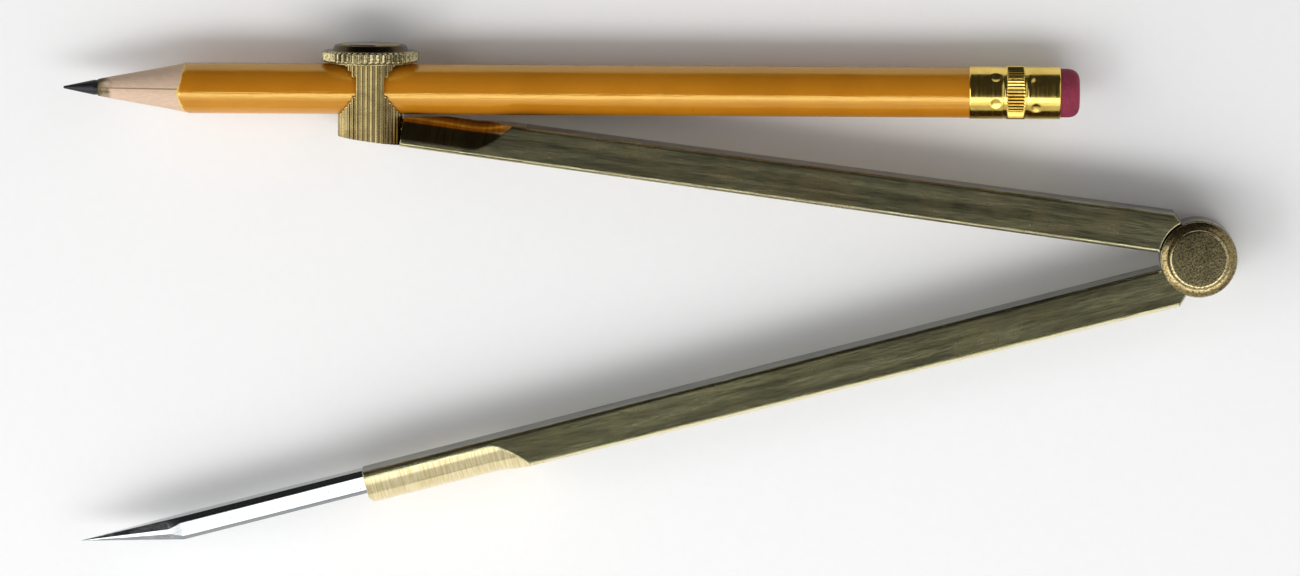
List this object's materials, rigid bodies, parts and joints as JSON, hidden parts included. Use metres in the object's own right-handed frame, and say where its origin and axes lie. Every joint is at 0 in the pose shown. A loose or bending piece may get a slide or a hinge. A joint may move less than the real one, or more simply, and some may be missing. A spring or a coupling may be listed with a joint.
{
  "type": "pencil compass",
  "caption": "Brass drawing compass with a half-lap hinge, a ground steel point on one leg and a wooden pencil held in a ribbed screw clamp on the other.",
  "frame": {"origin": "on the hinge axis, on the flat face of the rear rivet cap", "axes": "+Z along the hinge axis towards the front rivet head, +X parallel to the pencil from its tip to its eraser, +Y from the needle leg towards the pencil"},
  "size_m": [0.1573, 0.0671, 0.0129],
  "materials": {
    "leg_brass": "brushed along the leg, darkened",
    "hinge_brass": "turned, with a mottled worn face",
    "clamp_brass": "knurled, satin",
    "point_steel": "polished",
    "lacquered_wood": "glossy orange-yellow lacquer over bare sharpened wood",
    "graphite": "satin graphite",
    "ferrule_brass": "bright rolled sheet",
    "eraser_rubber": "matt, rubbed"
  },
  "bodies": {
    "pencil_arm": {"pencil_leg": "leg_brass", "clamp_post": "clamp_brass", "hinge_rivet": "hinge_brass", "rear_rivet_cap": "hinge_brass", "front_rose": "hinge_brass", "rear_rose": "hinge_brass", "lap_washer": "hinge_brass"},
    "needle_arm": {"needle_leg": "leg_brass", "steel_point": "point_steel"},
    "clamp_washer": {"pressure_washer": "clamp_brass"},
    "clamp_nut": {"clamp_nut": "clamp_brass"},
    "pencil": {"casing_upper": "lacquered_wood", "casing_lower": "lacquered_wood", "pencil_lead": "graphite", "ferrule": "ferrule_brass", "eraser": "eraser_rubber"}
  },
  "joints": [
    {"name": "leg_hinge", "type": "hinge", "parent": "pencil_arm", "child": "needle_arm", "pos_m": [0, 0, 0.00605], "axis": [0, 0, 1], "range_deg": [-22.25, 157.75]},
    {"name": "washer_lift", "type": "slide", "parent": "pencil_arm", "child": "clamp_washer", "axis": [0, 1, 0], "range_m": [0, 0.0015]},
    {"name": "nut_turn", "type": "hinge", "parent": "clamp_washer", "child": "clamp_nut", "pos_m": [-0.1111, 0.02556, 0.00605], "axis": [0, 1, 0], "range_deg": [0, 721]},
    {"name": "pencil_slide", "type": "slide", "parent": "pencil_arm", "child": "pencil", "axis": [1, 0, 0], "range_m": [0, 0.02]}
  ],
  "couplings": [
    {"joint": "nut_turn", "follows": "washer_lift", "rad_per_m": 8377.6}
  ]
}
